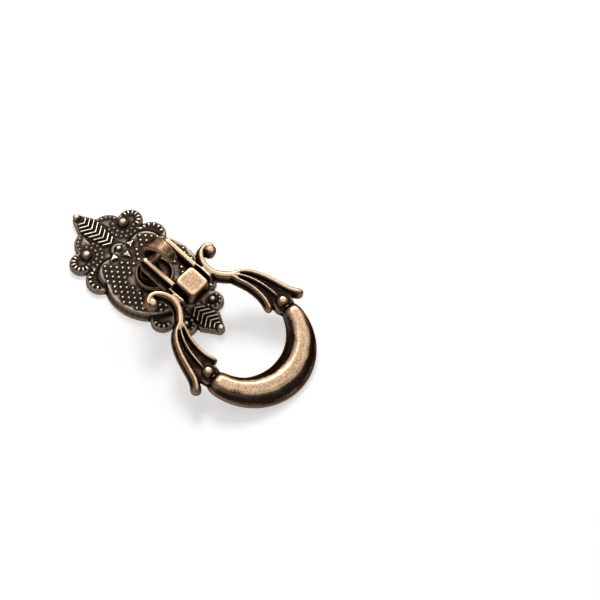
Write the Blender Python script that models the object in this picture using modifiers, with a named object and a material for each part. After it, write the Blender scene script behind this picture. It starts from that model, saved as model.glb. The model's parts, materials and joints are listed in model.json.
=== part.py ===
"""Drop pull in antique brass: a relief back plate, a post with an open hook, and a swinging drop.

Frame: origin on the back of the plate, on its centre line and a little below the post. X runs across, Y up
the plate and Z out of the drawer front. All places below are measured from the axis of the post, which stands
POST_Y above the origin. The drop is modelled flat in its own frame, with the hinge line at its origin, the
ring towards -Y and +Z as its front. It is then tipped until the ring's back lies just above the surface that
carries the plate.
"""
import bpy
import bmesh
from math import asin, atan2, cos, hypot, pi, radians, sin, sqrt
from mathutils import Matrix, Vector

MM = 0.001

POST_Y = 9.0 * MM

# Clearances
SEAT_GAP = 0.3 * MM             # between castings that bear on each other
SHANK_CLEARANCE = 0.3 * MM      # all round the shank in the plate
BAR_CLEARANCE = 0.5 * MM        # between the cross bar and the inside of the hook

# Back plate: levels
PLATE_HEIGHT = 1.8 * MM
DISC_HEIGHT = 3.0 * MM
EDGE_SOFTNESS = 0.4 * MM
SUNK = 0.6 * MM                 # how far an ornament is rooted in the face that carries it

# Back plate: outline, as round lobes (the side ones are mirrored) and two leaves
DISC_CENTRE_Y = 0.8 * MM
DISC_RADIUS = 14.2 * MM
DISC_FOOT, DISC_SLOPE = 0.6 * MM, 1.0 * MM      # the wall is upright up to here, then leans inwards
SHOULDER_X, SHOULDER_Y, SHOULDER_RADIUS = 6.2 * MM, 9.4 * MM, 6.1 * MM
SHOULDER_FOOT, SHOULDER_SLOPE = 1.2 * MM, 1.7 * MM
FLOWER_X, FLOWER_Y, FLOWER_RADIUS = 6.2 * MM, 18.0 * MM, 5.0 * MM
PETAL_X, PETAL_Y, PETAL_RADIUS = 9.97 * MM, 19.2 * MM, 3.66 * MM
SIDE_LOBE_X, SIDE_LOBE_Y, SIDE_LOBE_RADIUS = 10.4 * MM, 11.3 * MM, 4.35 * MM
LOWER_LOBE_X, LOWER_LOBE_Y, LOWER_LOBE_RADIUS = 8.5 * MM, -11.1 * MM, 3.6 * MM
PEARL_LOBE_X, PEARL_LOBE_Y, PEARL_LOBE_RADIUS = 5.47 * MM, -17.1 * MM, 3.3 * MM
WING_X, WING_Y, WING_RADIUS = 3.5 * MM, 21.7 * MM, 5.0 * MM
WING_FIRST, WING_LAST = -5, 95  # the wing is a fan, from and to these angles
LEAF_TIP_RADIUS = 1.6 * MM
LEAF_HALF_WIDTH = 4.0 * MM
TOP_LEAF_TIP_Y, TOP_LEAF_WIDE_Y, TOP_LEAF_ROOT_Y = 30.5 * MM, 26.0 * MM, 12.0 * MM
LOW_LEAF_TIP_Y, LOW_LEAF_WIDE_Y, LOW_LEAF_ROOT_Y = -24.8 * MM, -21.2 * MM, -11.0 * MM

# Back plate: ornament
TIP_BEAD_RADIUS = 1.15 * MM
KNOB_X, KNOB_Y, KNOB_RADIUS = 7.5 * MM, 19.7 * MM, 1.55 * MM
PEARL_RADIUS = 0.95 * MM
OVAL_X, OVAL_Y, OVAL_TURN = 9.5 * MM, 14.7 * MM, -40
OVAL_LENGTH, OVAL_WIDTH = 1.9 * MM, 1.1 * MM
CENTRE_BEAD_Y, CENTRE_BEAD_RADIUS = 14.1 * MM, 0.95 * MM
CENTRE_BOSS_RADIUS, CENTRE_BOSS_HEIGHT = 2.5 * MM, 2.5 * MM
SMALL_LEAF_SIZE = 1.75 * MM
SMALL_LEAF_STRETCH = 1.3
SIDE_LEAF_X, SIDE_LEAF_Y, LOW_LEAF_Y = 3.3 * MM, 12.7 * MM, 10.8 * MM
LEAF_CLEARANCE = 0.7 * MM       # from a small leaf's middle to the nearest dots, beyond its size
GRAIN_RADIUS = 0.46 * MM
GRAIN_HEIGHT = 0.5 * MM
GRAIN_RING_PITCH = 1.45 * MM    # from a knob's edge to its first ring of grains, and on to the second
GRAIN_MARGIN = 1.2 * MM         # from the edge of a lobe to the grains that follow it
FLUTE_MARGIN = 1.25 * MM        # from the edge of a lobe to the middle of its flutes
FLUTE_LENGTH = 2.0 * MM
FLUTE_WIDTH = 0.9 * MM
FLUTE_HEIGHT = 0.6 * MM
CHEVRON_PITCH = 1.5 * MM
CHEVRON_WIDTH = 0.85 * MM
CHEVRON_HEIGHT = 0.7 * MM
CHEVRON_RISE = 0.62             # how far an arm climbs towards the tip, for each unit across
TOP_CHEVRONS, TOP_CHEVRON_Y = 8, 27.9 * MM
LOW_CHEVRONS, LOW_CHEVRON_Y = 6, -23.1 * MM
DOT_PITCH = 2.04 * MM
DOT_ROW_PITCH = 1.37 * MM
DOT_FIRST_ROW_Y = 8.6 * MM
DOT_RADIUS = 0.56 * MM
DOT_HEIGHT = 0.5 * MM
DOT_MARGIN = 0.9 * MM           # from a dot's middle to the edge of the face that carries it

# Hook post: a dish on the plate, a shank through it and a strap bent over the cross bar
SHANK_RADIUS = 2.6 * MM
SCREW_HOLE_RADIUS = 1.6 * MM
SCREW_HOLE_DEPTH = 4.2 * MM
DISH_FOOT_RADIUS = 5.1 * MM
DISH_RIM_RADIUS = 5.8 * MM
DISH_HEIGHT = 1.7 * MM
DISH_WALL = 0.6 * MM
DISH_RIM_WIDTH = 1.3 * MM
STRAP_THICKNESS = 2.4 * MM
STRAP_HALF_WIDTH = 2.7 * MM
STRAP_TIP_HALF_WIDTH = 1.45 * MM
# The hook's sizes run from the middle of the cross bar to the strap's middle line
HOOK_REACH = 6.2 * MM           # to the tip, along the plate
HOOK_CROWN = 5.6 * MM           # up to the highest place
HOOK_TIP_RISE = 3.0 * MM        # up to the tip

# Drop: hinge line and levels above and below it, in the drop's own frame
HINGE_Y = -1.9 * MM
HINGE_Z = 15.9 * MM
BAR_RADIUS = 1.4 * MM
DROP_BACK = -3.0 * MM
LEG_BACK = -2.6 * MM            # the legs are a little thinner than the ring and the block
LEDGE_LEVEL = -1.7 * MM         # top of the narrow ledge round the foot of every moulding
SCROLL_CREST = 1.4 * MM
RIB_TIP_CREST = 0.5 * MM
MIDDLE_RIB_CREST, MIDDLE_RIB_TIP_CREST = 1.4 * MM, 0.7 * MM
GROOVE_FLOOR = -0.5 * MM

# Drop: cheeks, knuckle block and the rails beside it
CHEEK_GAP_HALF = 3.75 * MM
CHEEK_THICKNESS = 1.3 * MM
CHEEK_RISE = 2.2 * MM
CHEEK_CLIMB = 0.4 * MM          # how much higher a cheek stands at its front end
CHEEK_FRONT = 10.1 * MM
CHEEK_PANEL_BORDER = 0.9 * MM
CHEEK_PANEL_DEPTH = 0.4 * MM
RAIL_THICKNESS = 0.6 * MM
RAIL_REAR, RAIL_FRONT = -0.6 * MM, 9.0 * MM
RAIL_LEVEL = -1.9 * MM
FIN_X, FIN_THICKNESS = 5.5 * MM, 1.0 * MM
FIN_REAR, FIN_FRONT = 9.4 * MM, 14.8 * MM
FIN_REAR_LEVEL, FIN_FRONT_LEVEL = 1.1 * MM, 1.6 * MM
BLOCK_REAR, BLOCK_FRONT = 9.3 * MM, 16.3 * MM
BLOCK_HALF_WIDTH = 3.4 * MM
BLOCK_REAR_LEVEL, BLOCK_FRONT_LEVEL = 2.8 * MM, 3.3 * MM
BLOCK_FLARE = 0.7 * MM
BLOCK_CORNER = 1.1 * MM
BLOCK_EDGE = 0.35 * MM
PLINTH_MARGIN = 0.8 * MM
PLINTH_LEVEL = -1.4 * MM

# Drop: leg, as points (across, along) of its crest lines, measured from the hinge line in leg units
LEG_UNIT = 1.0 * MM
SCROLL_EYE = (11.75 * MM, 9.25 * MM)
SCROLL_EYE_RADIUS = 1.9 * MM
LEG_FORK = (10.1 * MM, 18.4 * MM)
SCROLL_LINE = ((12.9, 8.9), (12.3, 8.0), (11.1, 7.5), (9.7, 7.7), (8.2, 8.9), (7.2, 10.8), (6.9, 12.7),
               (7.3, 14.7), (8.4, 16.6))
OUTER_RIB_LINE = ((13.0, 19.5), (15.4, 22.0), (17.3, 25.9), (18.6, 30.0), (19.6, 33.0), (21.0, 35.0))
MIDDLE_RIB_LINE = ((12.0, 20.2), (13.6, 22.9), (14.6, 25.8), (15.1, 28.6), (15.35, 31.2))
INNER_RIB_LINE = ((10.8, 20.8), (11.9, 24.0), (12.3, 27.4), (12.1, 30.2), (11.4, 32.5))
SCROLL_HALF_WIDTHS = (1.1 * MM, 1.5 * MM)
OUTER_RIB_HALF_WIDTHS = (1.0 * MM, 1.6 * MM)
MIDDLE_RIB_HALF_WIDTHS = (0.75 * MM, 0.8 * MM)
INNER_RIB_HALF_WIDTHS = (0.95 * MM, 1.15 * MM)
SCROLL_FULLNESS, RIB_FULLNESS = 0.6, 0.45   # share of the half width that the crest takes
CREST_ROUNDING = 0.35 * MM
RIB_STEPS = 2

# Drop: end balls and the crescent ring
END_BALL = (15.3 * MM, 33.8 * MM)
END_BALL_RADIUS = 1.9 * MM
END_BALL_CREST = 1.5 * MM
NECK_RADIUS = 3.0 * MM
NECK_LEVEL = -0.4 * MM
RING_OUTER_RADIUS, RING_OUTER_CENTRE = 18.6 * MM, 36.3 * MM
RING_INNER_RADIUS, RING_INNER_CENTRE = 14.3 * MM, 30.4 * MM
RING_CREST_OUTER_RADIUS, RING_CREST_OUTER_CENTRE = 17.5 * MM, 34.5 * MM
RING_CREST_INNER_RADIUS, RING_CREST_INNER_CENTRE = 13.8 * MM, 33.4 * MM
RING_SWEEP_CENTRE = 34.0 * MM
RING_END_ANGLE = 83.0
RING_STEPS = 44
RING_CREST = 1.9 * MM
RING_LEDGE = 0.45               # share of the outer flank that the ledge at its foot takes
RING_FADE_STEPS = 2.0

PARTS = "drop_pull"
TOOLS = "shaping_tools"


def clear_scene():
    for obj in list(bpy.data.objects):
        bpy.data.objects.remove(obj)


def make_collection(name):
    collection = bpy.data.collections.new(name)
    bpy.context.scene.collection.children.link(collection)
    return collection


def make_metal(name, colour, roughness):
    metal = bpy.data.materials.new(name)
    metal.use_nodes = True
    shader = metal.node_tree.nodes["Principled BSDF"]
    shader.inputs["Base Color"].default_value = (*colour, 1.0)
    shader.inputs["Roughness"].default_value = roughness
    shader.inputs["Metallic"].default_value = 1.0
    return metal


def make_object(name, bm, collection, metal=None, parent=None):
    """Turns a bmesh into an object whose faces point outwards."""
    bmesh.ops.recalc_face_normals(bm, faces=bm.faces)
    mesh = bpy.data.meshes.new(name)
    bm.to_mesh(mesh)
    bm.free()
    mesh.shade_smooth()
    mesh.set_sharp_from_angle(angle=radians(40))
    if metal:
        mesh.materials.append(metal)
    obj = bpy.data.objects.new(name, mesh)
    obj.parent = parent
    collection.objects.link(obj)
    return obj


def shape_with(target, name, bm, mirrored=False, operation="UNION"):
    """Joins a solid to the target, or cuts it away, as a Boolean with its own tool object."""
    tool = make_object(name, bm, bpy.data.collections[TOOLS], parent=target.parent)
    tool.hide_render = True
    tool.display_type = "WIRE"
    if mirrored:
        mirror = tool.modifiers.new("Mirror", "MIRROR")
        mirror.use_mirror_merge = False
        mirror.merge_threshold = 0.00001
    boolean = target.modifiers.new(name, "BOOLEAN")
    boolean.operation = operation
    boolean.solver = "EXACT"
    boolean.object = tool


def skin(bm, rings):
    """Closes a body over rings that all have the same number of points."""
    loops = [[bm.verts.new(point) for point in ring] for ring in rings]
    count = len(loops[0])
    for near, far in zip(loops, loops[1:]):
        for i in range(count):
            j = (i + 1) % count
            bm.faces.new((near[i], near[j], far[j], far[i]))
    bm.faces.new(loops[0])
    bm.faces.new(loops[-1])


def smooth_line(points, steps=RIB_STEPS):
    """Points of an even curve that passes through the given ones."""
    ends = [points[0] * 2 - points[1], *points, points[-1] * 2 - points[-2]]
    line = []
    for before, start, stop, after in zip(ends, ends[1:], ends[2:], ends[3:]):
        slow = before * 2 - start * 5 + stop * 4 - after
        fast = start * 3 - before - stop * 3 + after
        for step in range(steps):
            t = step / steps
            line.append(start + ((stop - before) * t + slow * t ** 2 + fast * t ** 3) / 2)
    return line + [points[-1]]


def bead(bm, x, y, z, radius, height=None, turns=12, rings=7):
    """A round bead whose middle lies at z."""
    stretch = Matrix.Diagonal((radius, radius, height or radius, 1))
    place = Matrix.Translation((x, y, z)) @ stretch
    bmesh.ops.create_uvsphere(bm, u_segments=turns, v_segments=rings, radius=1, matrix=place)


def flute(bm, x, y, z, angle, length=FLUTE_LENGTH, width=FLUTE_WIDTH):
    """A long grain that points away from the middle of its lobe."""
    stretch = Matrix.Diagonal((length / 2, width / 2, FLUTE_HEIGHT, 1))
    place = Matrix.Translation((x, y, z)) @ Matrix.Rotation(angle, 4, "Z") @ stretch
    bmesh.ops.create_uvsphere(bm, u_segments=6, v_segments=4, radius=1, matrix=place)


def around(x, y, radius, first, last, count):
    """Places on an arc, in degrees: (x, y, angle) for each."""
    for step in range(count):
        angle = radians(first + (last - first) * step / max(count - 1, 1))
        yield x + radius * cos(angle), y + radius * sin(angle), angle


def chamfer(bm, edges, offset, segments=1):
    """Cuts or rounds off the given edges."""
    bmesh.ops.bevel(
        bm, geom=edges, offset=offset, segments=segments, profile=0.5, affect="EDGES", material=-1)


def soften_top(bm, verts, top, softness):
    """Chamfers the edges that lie at the top level."""
    edges = {e for v in verts for e in v.link_edges if min(w.co.z for w in e.verts) > top - 0.01 * MM}
    chamfer(bm, list(edges), softness)


def lobe(x, y, radius, height=PLATE_HEIGHT, sides=22):
    """A round lobe of the plate with a chamfered upper edge."""
    bm = bmesh.new()
    place = Matrix.Translation((x, y, height / 2))
    made = bmesh.ops.create_cone(
        bm, cap_ends=True, segments=sides, radius1=radius, radius2=radius, depth=height, matrix=place)
    soften_top(bm, made["verts"], height, EDGE_SOFTNESS)
    return bm


def raised_disc(x, y, radius, foot, slope, sides):
    """A round step of the plate: upright up to its foot level, then leaning inwards by the slope."""
    levels = ((radius, 0), (radius, foot), (radius - slope, DISC_HEIGHT))
    last = 360 * (1 - 1 / sides)
    bm = bmesh.new()
    skin(bm, [[(px, py, z) for px, py, _ in around(x, y, r, 0, last, sides)] for r, z in levels])
    return bm


def slab(outline, bottom, top, softness=0.0):
    """A flat outline in X and Y raised from bottom to top."""
    bm = bmesh.new()
    face = bm.faces.new([bm.verts.new((x, y, bottom)) for x, y in outline])
    raised = bmesh.ops.extrude_face_region(bm, geom=[face])
    verts = [item for item in raised["geom"] if isinstance(item, bmesh.types.BMVert)]
    for vert in verts:
        vert.co.z = top
    if softness:
        soften_top(bm, verts, top, softness)
    return bm


def wing_outline():
    """A fan of the plate beside the tip leaf: its middle and the arc round it."""
    arc = around(WING_X, WING_Y, WING_RADIUS, WING_FIRST, WING_LAST, 9)
    return [(WING_X, WING_Y - WING_RADIUS / 2)] + [(x, y) for x, y, _ in arc]


def spine_outline():
    """The plain middle strip of the plate, which closes the gaps between the lobes and the leaves."""
    low, high = PEARL_LOBE_Y, WING_Y + WING_RADIUS / 2
    return [(-PEARL_LOBE_X, low), (PEARL_LOBE_X, low), (PEARL_LOBE_X, high), (-PEARL_LOBE_X, high)]


def leaf_outline(tip_y, wide_y, root_y):
    """Half of a leaf: a round tip, a widest place and a narrower root, then its mirror image."""
    way = 1 if tip_y > root_y else -1
    tip = around(0, 0, LEAF_TIP_RADIUS, 65, 15, 3)
    half = [(x, tip_y + way * y) for x, y, _ in tip]
    half += [(LEAF_HALF_WIDTH, wide_y), (LEAF_TIP_RADIUS, root_y)]
    return half + [(-x, y) for x, y in reversed(half)]


def leaf_half_width(y, tip_y, wide_y, root_y):
    """How wide half of the leaf is at y."""
    inner = LEAF_HALF_WIDTH - 2 * EDGE_SOFTNESS
    ends = LEAF_TIP_RADIUS - EDGE_SOFTNESS
    end_y = tip_y if (y - wide_y) * (tip_y - wide_y) > 0 else root_y
    share = (y - end_y) / (wide_y - end_y)
    return ends + (inner - ends) * max(0.0, min(1.0, share))


def chevron(bm, apex_y, half, way):
    """A V-shaped ridge: the point lies at apex_y, the arms climb towards the leaf's tip."""
    foot, crest = CHEVRON_WIDTH / 2, CHEVRON_WIDTH / 5
    low, high = PLATE_HEIGHT - SUNK, PLATE_HEIGHT + CHEVRON_HEIGHT
    flank = ((crest, high), (foot, PLATE_HEIGHT), (foot, low))
    profile = [(-across, z) for across, z in reversed(flank)] + list(flank)
    rings = []
    for x in (-half, 0, half):
        y = apex_y + way * CHEVRON_RISE * abs(x)
        rings.append([(x, y + across, z) for across, z in profile])
    skin(bm, rings)


def chevrons():
    """The ridges of both leaves, counted from each tip towards the middle of the plate."""
    bm = bmesh.new()
    leaves = (
        (TOP_CHEVRONS, TOP_CHEVRON_Y, 1, (TOP_LEAF_TIP_Y, TOP_LEAF_WIDE_Y, TOP_LEAF_ROOT_Y)),
        (LOW_CHEVRONS, LOW_CHEVRON_Y, -1, (LOW_LEAF_TIP_Y, LOW_LEAF_WIDE_Y, LOW_LEAF_ROOT_Y)),
    )
    for count, first_y, way, leaf in leaves:
        for step in range(count):
            apex_y = first_y - way * step * CHEVRON_PITCH
            half = leaf_half_width(apex_y + way * CHEVRON_PITCH, *leaf) * 0.94
            chevron(bm, apex_y, half, way)
    return bm


def knobs():
    """The large knobs, the pearls of the small lower lobes and an oval grain above each side lobe."""
    bm = bmesh.new()
    bead(bm, KNOB_X, KNOB_Y, PLATE_HEIGHT + KNOB_RADIUS / 5, KNOB_RADIUS)
    bead(bm, PEARL_LOBE_X, PEARL_LOBE_Y, PLATE_HEIGHT + PEARL_RADIUS / 3, PEARL_RADIUS, turns=8, rings=6)
    flute(bm, OVAL_X, OVAL_Y, PLATE_HEIGHT, radians(OVAL_TURN), OVAL_LENGTH, OVAL_WIDTH)
    return bm


def middle_beads():
    """The beads on the plate's centre line: both tips and the one among the three small leaves."""
    bm = bmesh.new()
    for y in (TOP_LEAF_TIP_Y + LEAF_TIP_RADIUS / 3, LOW_LEAF_TIP_Y - LEAF_TIP_RADIUS / 3):
        bead(bm, 0, y, PLATE_HEIGHT + TIP_BEAD_RADIUS / 4, TIP_BEAD_RADIUS, turns=10)
    level = CENTRE_BOSS_HEIGHT + CENTRE_BEAD_RADIUS / 3
    bead(bm, 0, CENTRE_BEAD_Y, level, CENTRE_BEAD_RADIUS, turns=8, rings=6)
    return bm


SMALL_LEAVES = ((SIDE_LEAF_X, SIDE_LEAF_Y, 0), (-SIDE_LEAF_X, SIDE_LEAF_Y, pi), (0, LOW_LEAF_Y, -pi / 2))


def small_leaves():
    """Three faceted leaves that point down and to both sides of the centre bead."""
    bm = bmesh.new()
    for x, y, turn in SMALL_LEAVES:
        stretch = Matrix.Diagonal((SMALL_LEAF_STRETCH, 1, 1, 1)) @ Matrix.Rotation(-pi / 2, 4, "Z")
        place = Matrix.Translation((x, y, DISC_HEIGHT)) @ Matrix.Rotation(turn, 4, "Z")
        bmesh.ops.create_cone(
            bm, cap_ends=True, segments=3, radius1=SMALL_LEAF_SIZE, radius2=0.6 * SMALL_LEAF_SIZE,
            depth=2 * SUNK, matrix=place @ stretch)
    return bm


def grains():
    """Rings of small grains: two round each flower knob, one round each pearl and some along the wings."""
    bm = bmesh.new()
    arcs = (
        (KNOB_X, KNOB_Y, KNOB_RADIUS + GRAIN_RING_PITCH, 135, 305, 7),
        (KNOB_X, KNOB_Y, KNOB_RADIUS + 2 * GRAIN_RING_PITCH, 160, 292, 8),
        (WING_X, WING_Y, WING_RADIUS - GRAIN_MARGIN, 18, 74, 4),
        (PEARL_LOBE_X, PEARL_LOBE_Y, PEARL_LOBE_RADIUS - GRAIN_MARGIN, 190, 370, 6),
    )
    for x, y, radius, first, last, count in arcs:
        for gx, gy, _ in around(x, y, radius, first, last, count):
            bead(bm, gx, gy, PLATE_HEIGHT, GRAIN_RADIUS, GRAIN_HEIGHT, turns=6, rings=4)
    return bm


def flutes():
    """The fanned ridges along the outer edges of the six large lobes."""
    bm = bmesh.new()
    fans = (
        (PETAL_X, PETAL_Y, PETAL_RADIUS - FLUTE_MARGIN, -80, 84, 7, FLUTE_LENGTH),
        (SIDE_LOBE_X, SIDE_LOBE_Y, SIDE_LOBE_RADIUS - FLUTE_MARGIN, -28, 84, 5, FLUTE_LENGTH * 0.8),
        (LOWER_LOBE_X, LOWER_LOBE_Y, LOWER_LOBE_RADIUS - FLUTE_MARGIN, -84, 16, 4, FLUTE_LENGTH * 0.75),
    )
    for x, y, radius, first, last, count, length in fans:
        for fx, fy, angle in around(x, y, radius, first, last, count):
            flute(bm, fx, fy, PLATE_HEIGHT, angle, length)
    return bm


def on_raised_face(x, y):
    """True where a dot has room on the raised disc and clear of the dish and the small leaves."""
    on_disc = hypot(x, y - DISC_CENTRE_Y) < DISC_RADIUS - DISC_SLOPE - DOT_MARGIN
    beyond = DOT_MARGIN / 4 + SHOULDER_SLOPE
    on_shoulder = hypot(abs(x) - SHOULDER_X, y - SHOULDER_Y) < SHOULDER_RADIUS - beyond
    near_dish = hypot(x, y) < DISH_RIM_RADIUS + 1.5 * DOT_RADIUS + SEAT_GAP
    near_leaves = any(hypot(x - lx, y - ly) < SMALL_LEAF_SIZE + LEAF_CLEARANCE for lx, ly, _ in SMALL_LEAVES)
    near_bead = hypot(x, y - CENTRE_BEAD_Y) < CENTRE_BOSS_RADIUS + DOT_MARGIN
    return (on_disc or on_shoulder) and not near_dish and not near_leaves and not near_bead


def dots():
    """Staggered rows of small dots on the raised disc."""
    bm = bmesh.new()
    rows = int(2 * DISC_RADIUS / DOT_ROW_PITCH)
    columns = int(DISC_RADIUS / DOT_PITCH) + 1
    for row in range(-4, rows):
        y = DOT_FIRST_ROW_Y - row * DOT_ROW_PITCH
        for column in range(-columns, columns + 1):
            x = (column + 0.5 * (row % 2)) * DOT_PITCH
            if on_raised_face(x, y):
                bmesh.ops.create_cone(
                    bm, cap_ends=True, segments=5, radius1=1.5 * DOT_RADIUS, radius2=DOT_RADIUS / 2,
                    depth=2 * DOT_HEIGHT, matrix=Matrix.Translation((x, y, DISC_HEIGHT)))
    return bm


def cylinder(radius, bottom, top, sides=32, x=0.0, y=0.0):
    """An upright cylinder."""
    circle = around(x, y, radius, 0, 360 * (1 - 1 / sides), sides)
    return slab([(px, py) for px, py, _ in circle], bottom, top)


def build_back_plate(collection, metal, post_axis):
    """One casting: the lobes and leaves first, then the ornament on them, then the hole for the shank."""
    disc = raised_disc(0, DISC_CENTRE_Y, DISC_RADIUS, DISC_FOOT, DISC_SLOPE, 48)
    plate = make_object("back_plate", disc, collection, metal, post_axis)
    shape_with(plate, "spine", slab(spine_outline(), 0, PLATE_HEIGHT - EDGE_SOFTNESS / 2))
    shoulder = raised_disc(SHOULDER_X, SHOULDER_Y, SHOULDER_RADIUS, SHOULDER_FOOT, SHOULDER_SLOPE, 28)
    shape_with(plate, "shoulders", shoulder, mirrored=True)
    shape_with(plate, "flower_lobes", lobe(FLOWER_X, FLOWER_Y, FLOWER_RADIUS), mirrored=True)
    shape_with(plate, "petals", lobe(PETAL_X, PETAL_Y, PETAL_RADIUS), mirrored=True)
    shape_with(plate, "wings", slab(wing_outline(), 0, PLATE_HEIGHT, EDGE_SOFTNESS), mirrored=True)
    shape_with(plate, "side_lobes", lobe(SIDE_LOBE_X, SIDE_LOBE_Y, SIDE_LOBE_RADIUS), mirrored=True)
    shape_with(plate, "lower_lobes", lobe(LOWER_LOBE_X, LOWER_LOBE_Y, LOWER_LOBE_RADIUS), mirrored=True)
    shape_with(plate, "pearl_lobes", lobe(PEARL_LOBE_X, PEARL_LOBE_Y, PEARL_LOBE_RADIUS), mirrored=True)
    for name, leaf in (
            ("top_leaf", (TOP_LEAF_TIP_Y, TOP_LEAF_WIDE_Y, TOP_LEAF_ROOT_Y)),
            ("low_leaf", (LOW_LEAF_TIP_Y, LOW_LEAF_WIDE_Y, LOW_LEAF_ROOT_Y))):
        shape_with(plate, name, slab(leaf_outline(*leaf), 0, PLATE_HEIGHT, EDGE_SOFTNESS))
    shape_with(plate, "centre_boss", lobe(0, CENTRE_BEAD_Y, CENTRE_BOSS_RADIUS, CENTRE_BOSS_HEIGHT, 16))
    shape_with(plate, "chevrons", chevrons())
    shape_with(plate, "knobs", knobs(), mirrored=True)
    shape_with(plate, "middle_beads", middle_beads())
    shape_with(plate, "small_leaves", small_leaves())
    shape_with(plate, "grains", grains(), mirrored=True)
    shape_with(plate, "flutes", flutes(), mirrored=True)
    shape_with(plate, "dots", dots())
    hole = cylinder(SHANK_RADIUS + SHANK_CLEARANCE, -DISC_HEIGHT, 2 * DISC_HEIGHT)
    shape_with(plate, "shank_hole", hole, operation="DIFFERENCE")
    return plate


def dish_profile():
    """The dish and the shank, from the middle of the dish over the rim and down to the shank's end."""
    foot = DISC_HEIGHT + SEAT_GAP
    rim = foot + DISH_HEIGHT
    floor = foot + DISH_WALL
    inside = DISH_RIM_RADIUS - DISH_RIM_WIDTH
    bend = DISH_RIM_WIDTH / 4
    return (
        (0, floor), (inside - bend, floor), (inside, floor + bend), (inside + bend, rim - bend / 2),
        (inside + 2 * bend, rim), (DISH_RIM_RADIUS - bend, rim - bend / 2), (DISH_RIM_RADIUS, rim - 2 * bend),
        (DISH_RIM_RADIUS, foot + 2 * bend), (DISH_FOOT_RADIUS, foot), (SHANK_RADIUS, foot), (SHANK_RADIUS, 0),
        (0, 0),
    )


def turned_body(name, profile, collection, metal, parent, steps):
    """Turns a profile of (radius, z) round Z with a Screw modifier."""
    mesh = bpy.data.meshes.new(name)
    edges = [(i, i + 1) for i in range(len(profile) - 1)]
    mesh.from_pydata([(radius, 0, z) for radius, z in profile], edges, [])
    mesh.materials.append(metal)
    obj = bpy.data.objects.new(name, mesh)
    obj.parent = parent
    collection.objects.link(obj)
    screw = obj.modifiers.new("Turn", "SCREW")
    screw.steps = steps
    screw.render_steps = steps
    screw.use_merge_vertices = True
    screw.merge_threshold = 0.00001
    return obj


def strap_line():
    """The strap's middle line: up from the dish, over the cross bar and down to the tip."""
    rear = HINGE_Y + BAR_RADIUS + BAR_CLEARANCE + STRAP_THICKNESS / 2
    floor = DISC_HEIGHT + SEAT_GAP + DISH_WALL / 2
    crown = HINGE_Z + HOOK_CROWN
    tip_y = HINGE_Y - HOOK_REACH
    bend = STRAP_THICKNESS / 2
    return smooth_line([Vector(point) for point in (
        (0, rear, floor),
        (0, rear, (floor + HINGE_Z) / 2),
        (0, rear, HINGE_Z + bend / 2),
        (0, rear - 1.4 * bend, HINGE_Z + 0.68 * HOOK_CROWN),
        (0, HINGE_Y - 0.5 * bend, crown - 0.3 * bend),
        (0, HINGE_Y - 0.42 * HOOK_REACH, crown),
        (0, tip_y + 1.1 * bend, HINGE_Z + (HOOK_CROWN + HOOK_TIP_RISE) / 2 + 0.5 * bend),
        (0, tip_y, HINGE_Z + HOOK_TIP_RISE),
    )])


def strap():
    """The stem and hook: a flat strap with bevelled flanks, which narrows and thins towards its tip."""
    half = ((0.85, -0.9), (1.0, -0.2), (0.95, 0.35), (0.7, 1.0))
    section = list(half) + [(-x, n) for x, n in reversed(half)]
    line = strap_line()
    rings = []
    for i, point in enumerate(line):
        along = (line[min(i + 1, len(line) - 1)] - line[max(i - 1, 0)]).normalized()
        outward = along.cross(Vector((1, 0, 0)))
        t = i / (len(line) - 1)
        past_bend = max(0.0, t - 0.4) / 0.6
        width = STRAP_HALF_WIDTH + (STRAP_TIP_HALF_WIDTH - STRAP_HALF_WIDTH) * past_bend
        root_swell = 1 + max(0.0, 0.6 - 3 * t)
        tip_thinning = 1 - 0.35 * max(0.0, past_bend - 0.5) * 2
        depth = STRAP_THICKNESS / 2 * root_swell * tip_thinning
        rings.append([point + Vector((x * width, 0, 0)) - outward * (n * depth) for x, n in section])
    bm = bmesh.new()
    skin(bm, rings)
    return bm


def build_hook_post(collection, metal, post_axis):
    """One casting: dish and shank turned together, the strap on top, and the hole for the fixing screw."""
    post = turned_body("hook_post", dish_profile(), collection, metal, post_axis, 40)
    shape_with(post, "strap", strap())
    hole = cylinder(SCREW_HOLE_RADIUS, -SEAT_GAP, SCREW_HOLE_DEPTH, 20)
    shape_with(post, "screw_hole", hole, operation="DIFFERENCE")
    return post


def moulding_section(crest, floor, ledge, full):
    """Half widths and levels across a moulding: a ledge at each foot, steep flanks and a rounded crest."""
    half = ((full / 3, crest), (full, crest - CREST_ROUNDING), (0.5 + full / 2, (2 * ledge + crest) / 3),
            (0.85, ledge + CREST_ROUNDING / 3), (1, ledge), (1, floor))
    return [(-x, z) for x, z in reversed(half)] + list(half)


def moulding(line, half_widths, crests, full, floor=LEG_BACK, ledge=LEDGE_LEVEL):
    """A raised moulding that follows a line in X and Y. Widths and crest levels go from start to end."""
    rings = []
    for i, point in enumerate(line):
        along = (line[min(i + 1, len(line) - 1)] - line[max(i - 1, 0)]).normalized()
        side = Vector((along.y, -along.x, 0))
        t = i / (len(line) - 1)
        width = half_widths[0] + (half_widths[1] - half_widths[0]) * t
        section = moulding_section(crests[0] + (crests[1] - crests[0]) * t, floor, ledge, full)
        rings.append([point + side * (x * width) + Vector((0, 0, z)) for x, z in section])
    for angle in (35, 65):
        out = line[-1] + along * (half_widths[1] * sin(radians(angle)))
        shrink = cos(radians(angle))
        low = (1 - shrink) * 0.6
        rings.append([out + side * (x * half_widths[1] * shrink) + Vector((0, 0, z + (floor - z) * low))
                      for x, z in section])
    bm = bmesh.new()
    skin(bm, rings)
    return bm


def leg_line(points, start=None):
    """A crest line as a smooth curve. Points give distances across and along the drop."""
    line = [Vector((x * LEG_UNIT, -along * LEG_UNIT, 0)) for x, along in points]
    if start:
        line.insert(0, Vector((start[0], -start[1], 0)))
    return line


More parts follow.
